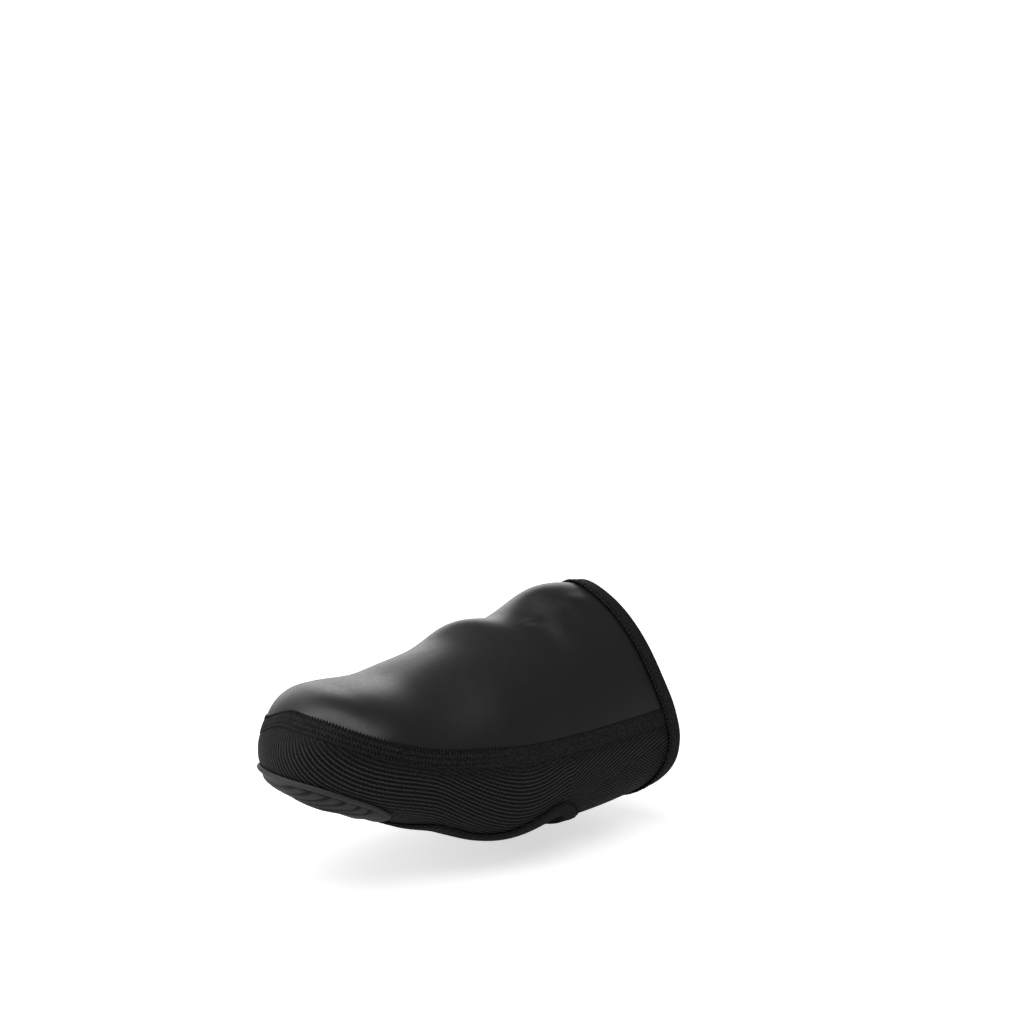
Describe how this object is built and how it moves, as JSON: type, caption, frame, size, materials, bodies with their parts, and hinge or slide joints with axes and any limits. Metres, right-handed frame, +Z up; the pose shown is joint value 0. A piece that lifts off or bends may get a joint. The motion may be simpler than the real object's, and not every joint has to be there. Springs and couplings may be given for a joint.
{
  "type": "cycling toe cover",
  "caption": "Right-foot stretch cover for the front of a cycling shoe, open at the rear and under the cleat, with a smooth upper and ribbed mesh sides.",
  "frame": {"origin": "on the underside of the shoe's sole at the ball of the foot, in the middle of the cleat opening, where the worn cover sits", "axes": "+Z up with the shoe standing on its cleat and heel, -Y toward the toe, +X toward the big-toe side"},
  "size_m": [0.1025, 0.1953, 0.1021],
  "materials": {
    "upper_panel": "smooth coated stretch cloth, satin",
    "mesh_panel": "ribbed stretch mesh, matte",
    "arch_strap": "ribbed stretch mesh, matte",
    "seam_band": "flat cover-stitched seam, matte",
    "opening_binding": "folded knit tape, matte",
    "cleat_binding": "folded knit tape, matte",
    "toe_pad": "moulded rubber, semi-matte"
  },
  "bodies": {
    "root": {"upper_panel": "upper_panel", "mesh_panel": "mesh_panel", "arch_strap": "arch_strap", "seam_band": "seam_band", "opening_binding": "opening_binding", "cleat_binding": "cleat_binding", "toe_pad": "toe_pad"}
  },
  "joints": []
}
